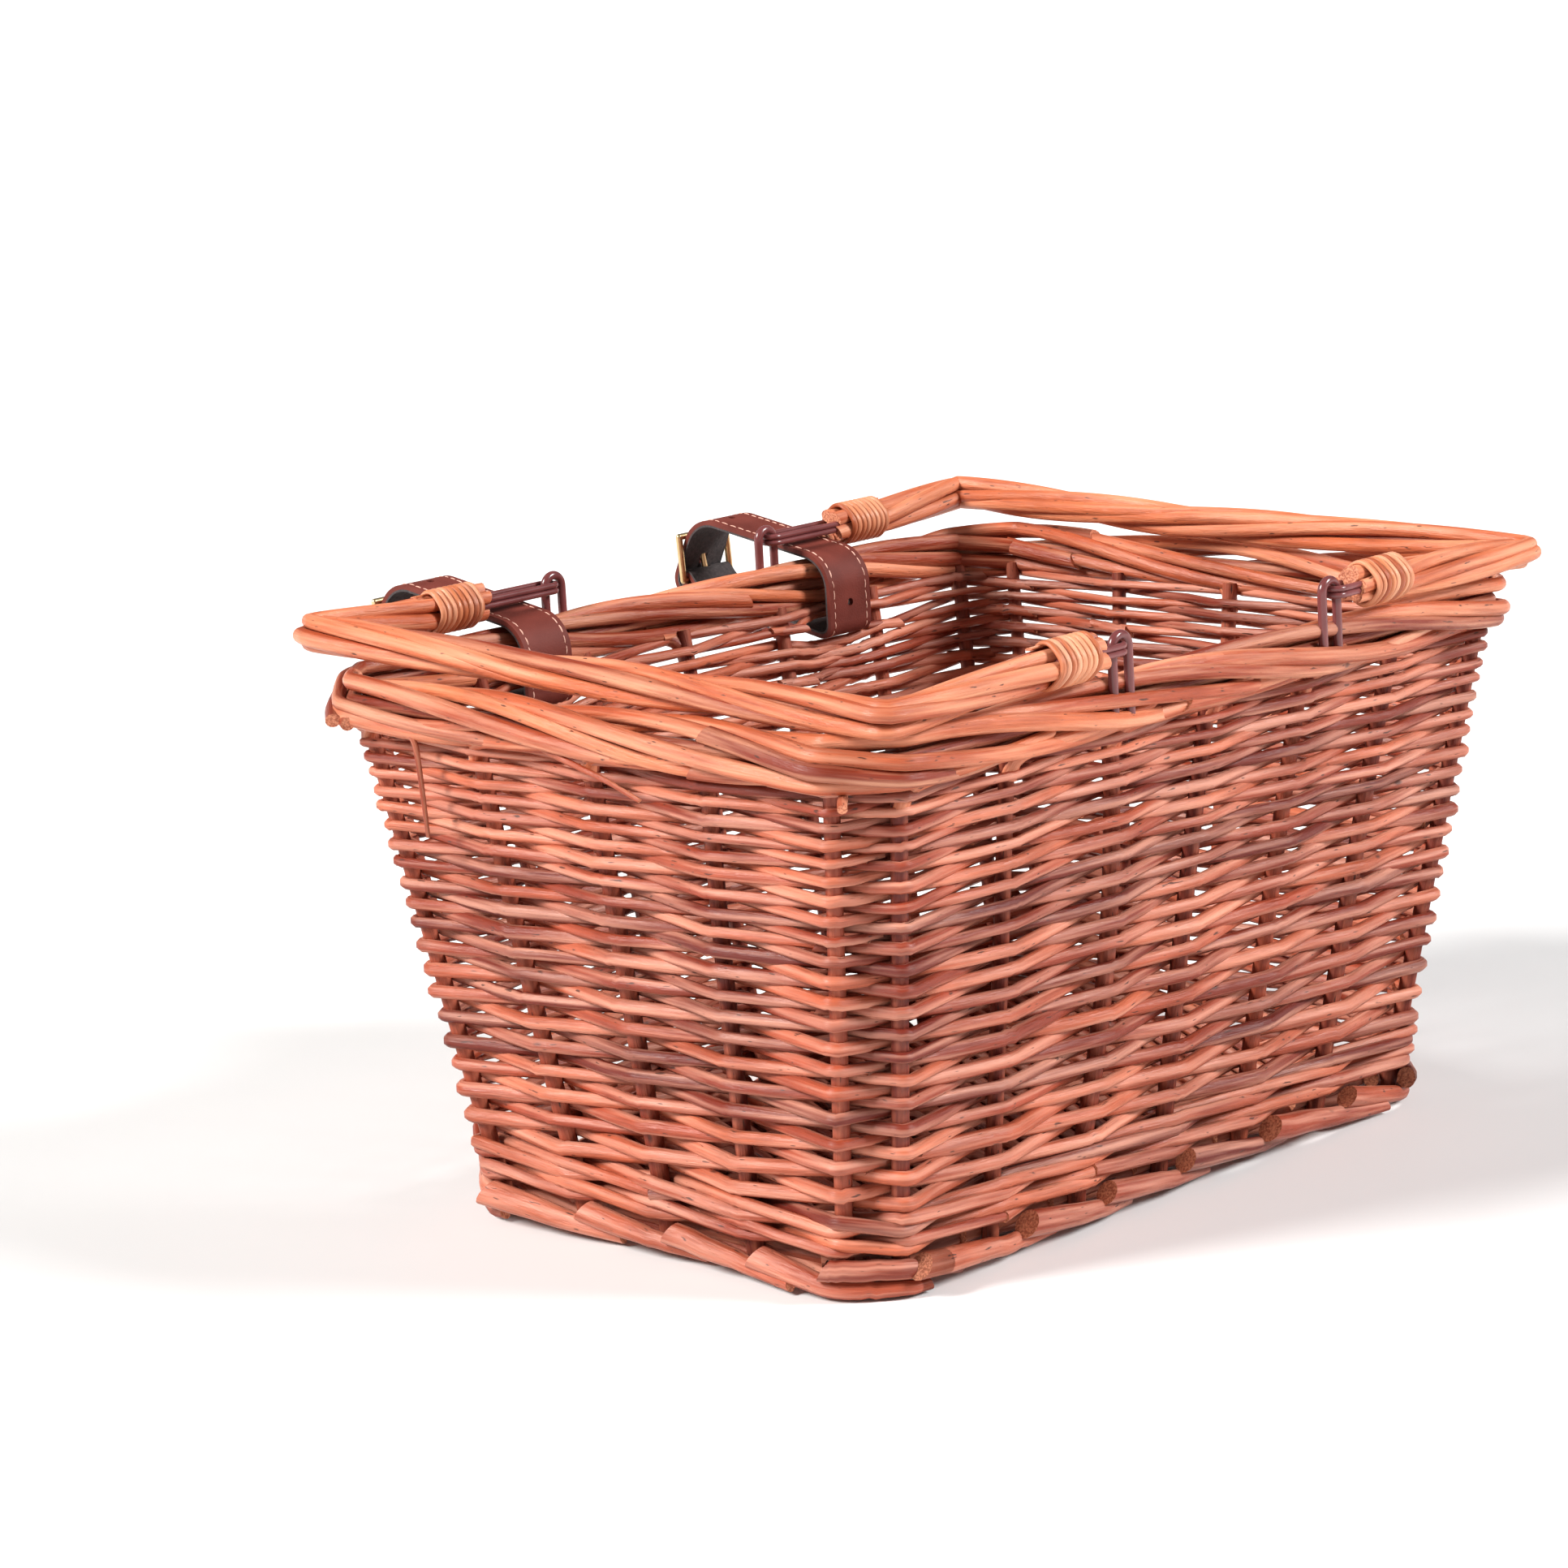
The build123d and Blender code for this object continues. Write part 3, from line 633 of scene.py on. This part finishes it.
def strap_line():
    """The strap's outer face in Y and Z: round the bar's underside, through the slot, up over the top
    border, round the bar, the heel of the buckle, and back along the lower run."""
    mount, heel = RECORD["mounts"][0], JOINTS["right_prong_lift"]["pos_m"]
    bar = (mount["pos_m"][1] * 1000 - CENTRE_Y, mount["pos_m"][2] * 1000)
    bar_r = mount["dims"]["r_mm"]
    heel = (heel[1] * 1000 - CENTRE_Y, heel[2] * 1000)
    inside = box("right_strap")[0][1] + STRAP_T
    slide = JOINTS["right_keeper_slide"]["axis"]
    slope = atan2(slide[2], slide[1])
    tail_z = SLOT_Z - TAIL_LAYERS / cos(slope) + (TAIL_Y - inside) * sin(slope) / cos(slope)
    # Each bend as its centre in Y and Z and its inner radius.
    route = [(*bar, bar_r), (inside + SLOT_BEND, SLOT_Z + SLOT_BEND, SLOT_BEND),
             (inside + RIM_BEND, RIM_BEND_Z, RIM_BEND), (*bar, bar_r),
             (*heel, FOLD_R + STRAP_T + LAYER_GAP), (*bar, bar_r + TAIL_LAYERS), (TAIL_Y, tail_z, 0)]
    points, last = [], None
    for (y0, z0, r0), (y1, z1, r1) in zip(route, route[1:]):
        heading = atan2(z1 - z0, y1 - y0) + asin((r1 - r0) / sqrt((y1 - y0) ** 2 + (z1 - z0) ** 2))
        if last is not None:
            turn = (last - heading) % (2 * pi)
            for t in np.linspace(0, 1, 12)[1:-1]:
                at = last - turn * t
                points.append((y0 - (r0 + STRAP_T) * sin(at), z0 + (r0 + STRAP_T) * cos(at)))
        side = (-sin(heading), cos(heading))
        points += [(y0 + (r0 + STRAP_T) * side[0], z0 + (r0 + STRAP_T) * side[1]),
                   (y1 + (r1 + STRAP_T) * side[0], z1 + (r1 + STRAP_T) * side[1])]
        last = heading
    return np.array(points)


def stitching(side):
    """A row of separate stitches along both edges of a strap."""
    rods = Rods()
    edge = np.array([(0.0, y, z) for y, z in strap_line()])
    line, travel = resample(edge, 0.25)
    steps = 7
    for across in (-1, 1):
        at = 5.0
        while at < travel[-1] - 6:
            length = STITCH + RNG.normal(0, 0.35)
            share = np.linspace(at, at + length, steps)
            points = np.stack([np.interp(share, travel, line[:, k]) for k in range(3)], axis=1)
            tangent = unit(np.gradient(points, axis=0))
            out = np.stack([np.zeros(steps), -tangent[:, 2], tangent[:, 1]], axis=1)
            points += out * (STITCH_SINK * np.sin(np.linspace(0, pi, steps)) - STITCH_SINK)[:, None]
            drift = RNG.normal(0, 0.14, 2)
            seam = side * STRAP_X + across * (STRAP_HALF - STITCH_IN)
            points[:, 0] = seam + np.linspace(drift[0], drift[1], steps)
            tube(rods, points, STITCH_R * RNG.normal(1, 0.1), RNG.random(), ref=out, sides=6)
            at += length + STITCH_GAP + abs(RNG.normal(0, 0.2))
    return rods


# ---------------------------------------------------------------- floor of the basket
FLOOR_STICKS = 7
FLOOR_WEAVER_R, FLOOR_PITCH = 2.0, 4.1


def floor():
    """Sticks along the floor, and thinner rods woven across them."""
    sticks, weavers = Rods(), Rods()
    low, high = box("base_sticks")
    level = (low[2] + high[2]) / 2
    wide, deep = high[0], half("base_weave", 1)
    ys = np.linspace(low[1] + 3, high[1] - 3, FLOOR_STICKS)
    for y in ys:
        line = np.stack([np.linspace(-wide, wide, 40), np.full(40, y) + RNG.normal(0, 0.3), np.full(40, level)],
                        axis=1)
        tube(sticks, line, STAKE_R * RNG.normal(1, 0.04), RNG.random(), sides=10)
    number = int(2 * wide / FLOOR_PITCH)
    for k in range(number):
        x = (wide - 1.5) * (2 * k / (number - 1) - 1)
        points = [(x, -deep + 3, level)]
        thick = FLOOR_WEAVER_R * RNG.normal(1, 0.06)
        for i, y in enumerate(ys):
            out = 1 if (i + k) % 2 else -1
            z = level + out * (STAKE_R + thick - 0.4)
            points += [(x, y - 1.6, z), (x, y + 1.6, z)]
        points.append((x, deep - 3, level))
        tube(weavers, smooth(points, 2), thick, RNG.random(), ref=np.array((1.0, 0, 0)), sides=6)
    return sticks, weavers


# ---------------------------------------------------------------- materials
def material(name):
    """A new material, its shader, and two helpers: one adds a node, the other links two sockets."""
    made = bpy.data.materials.new(name)
    made.use_nodes = True
    tree = made.node_tree
    shader = tree.nodes["Principled BSDF"]

    def node(kind, inputs=None, **settings):
        new = tree.nodes.new(kind)
        for key, value in settings.items():
            setattr(new, key, value)
        for key, value in (inputs or {}).items():
            if isinstance(value, bpy.types.NodeSocket):
                tree.links.new(value, new.inputs[key])
            else:
                new.inputs[key].default_value = value
        return new

    return made, shader, node, tree.links.new


def ramp(node, value, *stops):
    """The colour of value between stops (place, colour)."""
    made = node("ShaderNodeValToRGB", {"Fac": value})
    bar = made.color_ramp.elements
    bar[0].position, bar[0].color = stops[0][0], (*stops[0][1], 1)
    bar[1].position, bar[1].color = stops[-1][0], (*stops[-1][1], 1)
    for place, colour in stops[1:-1]:
        bar.new(place).color = (*colour, 1)
    return made.outputs["Color"]


def mix(node, share, first, second):
    # A colour mix's sockets are found by number: 0 the share, 6 and 7 the colours, 2 the result.
    return node("ShaderNodeMix", {0: share, 6: first, 7: second}, data_type="RGBA").outputs[2]


def grey(v):
    return (v, v, v)


FLECK, KNOT = (0.05, 0.018, 0.012, 1), (0.045, 0.016, 0.012, 1)
PITH_DARK, PITH_PALE = (0.42, 0.12, 0.06), (0.74, 0.29, 0.16)


def willow(name, worn_and_highlight, pale, middle, deep, rough=0.52, dirt=1.0):
    """Stained willow: a tone for each rod from deep to pale, streaks along it, paler stretches that are partly
    worn, bare willow and partly a painted highlight, dark flecks, knots and pale cut ends.  dirt weakens the
    flecks and knots."""
    made, shader, node, link = material(name)
    tint = node("ShaderNodeAttribute", attribute_name="tint").outputs["Fac"]
    grain = node("ShaderNodeAttribute", attribute_name="grain").outputs["Vector"]
    end = node("ShaderNodeAttribute", attribute_name="end").outputs["Fac"]
    where = node("ShaderNodeTexCoord").outputs["Object"]

    def stretched(of, stretch):
        return node("ShaderNodeVectorMath", {0: of, 1: (1, 1, stretch)}, operation="MULTIPLY").outputs[0]

    def noise(scale, stretch, detail=3.0, of=grain):
        return node("ShaderNodeTexNoise", {"Vector": stretched(of, stretch), "Scale": scale, "Detail": detail,
                                           "Roughness": 0.55}).outputs["Fac"]

    def over(share, low, high, strength, colour):
        """Lay colour over the rod, from nothing where share is low to strength where it is high."""
        return mix(node, ramp(node, share, (low, grey(0.0)), (high, grey(strength))), rod, colour)

    rod = ramp(node, tint, (0.0, deep), (0.45, middle), (1.0, pale))
    rod = over(noise(28.0, 1.0, of=where), 0.38, 0.7, 0.45, (*deep, 1))
    streaks = noise(0.9, 0.06)
    rod = over(streaks, 0.45, 0.75, 0.4, (*[c * 0.62 for c in deep], 1))
    # Paler stretches across and along each rod: partly worn, bare willow where the stain is thin, partly a
    # painted highlight on one side of the rod.
    rod = over(noise(0.3, 0.05, detail=2.0), 0.4, 0.7, 0.58, (*worn_and_highlight, 1))
    flecks = noise(0.75, 0.22, detail=1.5)
    rod = over(flecks, 0.69, 0.74, 0.85 * dirt, FLECK)
    knots = node("ShaderNodeTexVoronoi", {"Vector": stretched(grain, 0.5), "Scale": 0.055}).outputs["Distance"]
    rod = mix(node, ramp(node, knots, (0.03, grey(0.8 * dirt)), (0.07, grey(0.0))), rod, KNOT)
    cut = ramp(node, noise(1.3, 1.0), (0.4, PITH_DARK), (0.6, PITH_PALE))
    rod = mix(node, end, rod, cut)
    link(rod, shader.inputs["Base Color"])
    fine = noise(2.2, 0.05, detail=4.0)
    wrinkle = noise(0.35, 0.25)
    height = node("ShaderNodeMath", {0: fine, 1: wrinkle}, operation="ADD").outputs[0]
    height = node("ShaderNodeMath", {0: height, 1: flecks}, operation="SUBTRACT").outputs[0]
    bump = node("ShaderNodeBump", {"Height": height, "Strength": 0.55, "Distance": 0.0006})
    link(bump.outputs["Normal"], shader.inputs["Normal"])
    gloss = node("ShaderNodeMapRange", {"Value": streaks, "From Min": 0.3, "From Max": 0.7,
                                        "To Min": rough - 0.1, "To Max": rough + 0.14})
    link(gloss.outputs["Result"], shader.inputs["Roughness"])
    shader.inputs["Specular IOR Level"].default_value = 0.36
    return made


# Each willow's first tone is for its paler stretches: partly worn, bare willow and partly a painted highlight.
WEAVER = willow("willow_weave", worn_and_highlight=(0.80, 0.38, 0.265), pale=(0.57, 0.15, 0.072),
                middle=(0.35, 0.058, 0.024), deep=(0.12, 0.011, 0.005), rough=0.42)
STAKE = willow("willow_stake", worn_and_highlight=(0.46, 0.13, 0.07), pale=(0.32, 0.062, 0.027),
               middle=(0.22, 0.034, 0.014), deep=(0.12, 0.014, 0.007))
RIM = willow("willow_rim", worn_and_highlight=(0.86, 0.41, 0.25), pale=(0.66, 0.19, 0.078),
             middle=(0.44, 0.083, 0.03), deep=(0.20, 0.025, 0.009), rough=0.4)
GRIP = willow("willow_handle", worn_and_highlight=(0.86, 0.40, 0.23), pale=(0.68, 0.195, 0.078),
              middle=(0.47, 0.09, 0.03), deep=(0.22, 0.028, 0.01), rough=0.4)
CANE = willow("cane_binding", worn_and_highlight=(0.86, 0.46, 0.29), pale=(0.68, 0.25, 0.115),
              middle=(0.54, 0.165, 0.065), deep=(0.34, 0.07, 0.025), rough=0.34, dirt=0.3)


def leather():
    """Smooth brown leather with a fine grain and little shine."""
    made, shader, node, link = material("strap_leather")
    where = node("ShaderNodeTexCoord").outputs["Object"]
    cloud = node("ShaderNodeTexNoise", {"Vector": where, "Scale": 70.0, "Detail": 4.0}).outputs["Fac"]
    pores = node("ShaderNodeTexVoronoi", {"Vector": where, "Scale": 1500.0}).outputs["Distance"]
    hide = ramp(node, cloud, (0.3, (0.105, 0.019, 0.013)), (0.7, (0.165, 0.034, 0.024)))
    link(hide, shader.inputs["Base Color"])
    bump = node("ShaderNodeBump", {"Height": pores, "Strength": 0.25, "Distance": 0.0003})
    link(bump.outputs["Normal"], shader.inputs["Normal"])
    shader.inputs["Roughness"].default_value = 0.62
    shader.inputs["Specular IOR Level"].default_value = 0.2
    return made


def plain_noise(name, low, high, scale, rough, metal=0.0, bump=0.2):
    """A plain material whose colour and shine drift a little, with a fine bump."""
    made, shader, node, link = material(name)
    where = node("ShaderNodeTexCoord").outputs["Object"]
    cloud = node("ShaderNodeTexNoise", {"Vector": where, "Scale": scale, "Detail": 4.0}).outputs["Fac"]
    link(ramp(node, cloud, (0.32, low), (0.68, high)), shader.inputs["Base Color"])
    fine = node("ShaderNodeTexNoise", {"Vector": where, "Scale": scale * 6, "Detail": 3.0}).outputs["Fac"]
    link(node("ShaderNodeBump", {"Height": fine, "Strength": bump, "Distance": 0.0002}).outputs["Normal"],
         shader.inputs["Normal"])
    gloss = node("ShaderNodeMapRange", {"Value": cloud, "To Min": rough - 0.06, "To Max": rough + 0.08})
    link(gloss.outputs["Result"], shader.inputs["Roughness"])
    shader.inputs["Metallic"].default_value = metal
    return made


LEATHER = leather()
LINING = plain_noise("strap_lining", (0.03, 0.024, 0.024), (0.07, 0.055, 0.055), 900.0, 0.85, bump=0.8)
WIRE = plain_noise("coated_wire", (0.125, 0.03, 0.03), (0.19, 0.05, 0.05), 60.0, 0.22, bump=0.08)
THREAD = plain_noise("stitching", (0.62, 0.33, 0.25), (0.8, 0.47, 0.37), 700.0, 0.7, bump=0.5)
BRASS = plain_noise("buckle_brass", (0.62, 0.42, 0.2), (0.78, 0.58, 0.32), 120.0, 0.3, metal=1.0, bump=0.1)

# ---------------------------------------------------------------- build
for what, made, finish, slot_name in (
        ("weave", weave(), WEAVER, "willow_weave"), ("wale", wale(), WEAVER, "willow_weave"),
        ("bottom_border", bottom_border(), WEAVER, "willow_weave"), ("stakes", stakes(), STAKE, "willow_stake"),
        ("rim", top_border(), RIM, "willow_rim")):
    for wall, rods in made.items():
        rods.build(f"visual_{wall}_{what}", "root", finish, slot_name, f"{wall}_{what}")

base_sticks, base_weavers = floor()
base_sticks.build("visual_base_sticks", "root", STAKE, "willow_stake", "base_sticks")
base_weavers.build("visual_base_weave", "root", WEAVER, "willow_weave", "base_weave")

for hand, side in (("left", -1), ("right", 1)):
    packed = [f"{hand}_handle_{rod}_rod" for rod in ("outer_top", "outer_bottom", "inner_top", "inner_bottom")]
    handle(side).build(f"visual_{hand}_handle_rods", f"{hand}_handle", GRIP, "willow_handle", *packed)
    for place, end in (("front", -1), ("rear", 1)):
        cane_binding(side, end).build(f"visual_{hand}_{place}_binding", f"{hand}_handle", CANE,
                                      "cane_binding", f"{hand}_handle_{place}_binding")

for hand, side in (("left", -1), ("right", 1)):
    stitching(side).build(f"visual_{hand}_stitching", "root", THREAD, "stitching", f"{hand}_strap_stitching")

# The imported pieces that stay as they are, and what they are made of.
KEPT = {"_staple": WIRE, "_wire": WIRE, "_strap": LEATHER, "_strap_lining": LINING,
        "_buckle_frame": BRASS, "_buckle_prong": BRASS, "_strap_keeper": LEATHER}
for node_name, piece in frame["nodes"].items():
    for ending, finish in KEPT.items():
        if node_name.endswith(ending):
            for slot in piece.material_slots:
                slot.material = finish

# ---------------------------------------------------------------- ground, light, camera
bpy.ops.mesh.primitive_plane_add(size=30, location=(0, 0, -0.0005))
ground = bpy.context.object
ground.name = "ground"
paper, shader, _, _ = material("ground")
shader.inputs["Base Color"].default_value = (0.78, 0.78, 0.78, 1)
shader.inputs["Roughness"].default_value = 0.9
ground.data.materials.append(paper)

world = bpy.data.worlds.new("studio")
world.use_nodes = True
sky = world.node_tree
sky.nodes["Background"].inputs["Strength"].default_value = 1.1
# White at the horizon, like the paper sweep behind a product, and dim overhead.
fade = sky.nodes.new("ShaderNodeValToRGB")
for stop, height, brightness in zip(fade.color_ramp.elements, (0.10, 0.20), (1, 0.16)):
    stop.position, stop.color = height, (*grey(brightness), 1)
split = sky.nodes.new("ShaderNodeSeparateXYZ")
sky.links.new(sky.nodes.new("ShaderNodeTexCoord").outputs["Generated"], split.inputs[0])
sky.links.new(split.outputs["Z"], fade.inputs["Fac"])
sky.links.new(fade.outputs["Color"], sky.nodes["Background"].inputs["Color"])
bpy.context.scene.world = world


def lamp(name, towards, strength, spread, colour=(1, 1, 1)):
    """A broad, far-off softbox that shines from the direction towards."""
    light = bpy.data.lights.new(name, "SUN")
    light.energy, light.angle, light.color = strength, spread, colour
    piece = bpy.data.objects.new(name, light)
    piece.rotation_euler = Vector(towards).to_track_quat("Z", "Y").to_euler()
    bpy.context.scene.collection.objects.link(piece)


lamp("key", (-0.80, 0.36, 0.66), 5.2, 0.36, (1, 0.98, 0.955))
lamp("fill", (0.46, -0.78, 0.62), 4.0, 0.36)

# From beyond the basket's front left corner, above it, and tilted slightly to one side.
CAMERA_AT = (-1.19924, -1.12265, 0.48131)
CAMERA_RIGHT, CAMERA_UP = Vector((0.68938, -0.72219, -0.05651)), Vector((0.18747, 0.10252, 0.97691))
camera = bpy.data.objects.new("camera", bpy.data.cameras.new("camera"))
camera.data.lens, camera.data.sensor_width = 106.0, 36.0
camera.matrix_world = Matrix((CAMERA_RIGHT, CAMERA_UP, CAMERA_RIGHT.cross(CAMERA_UP))).transposed().to_4x4()
camera.location = CAMERA_AT
bpy.context.scene.collection.objects.link(camera)
bpy.context.scene.camera = camera
bpy.context.scene.view_settings.view_transform = "Standard"
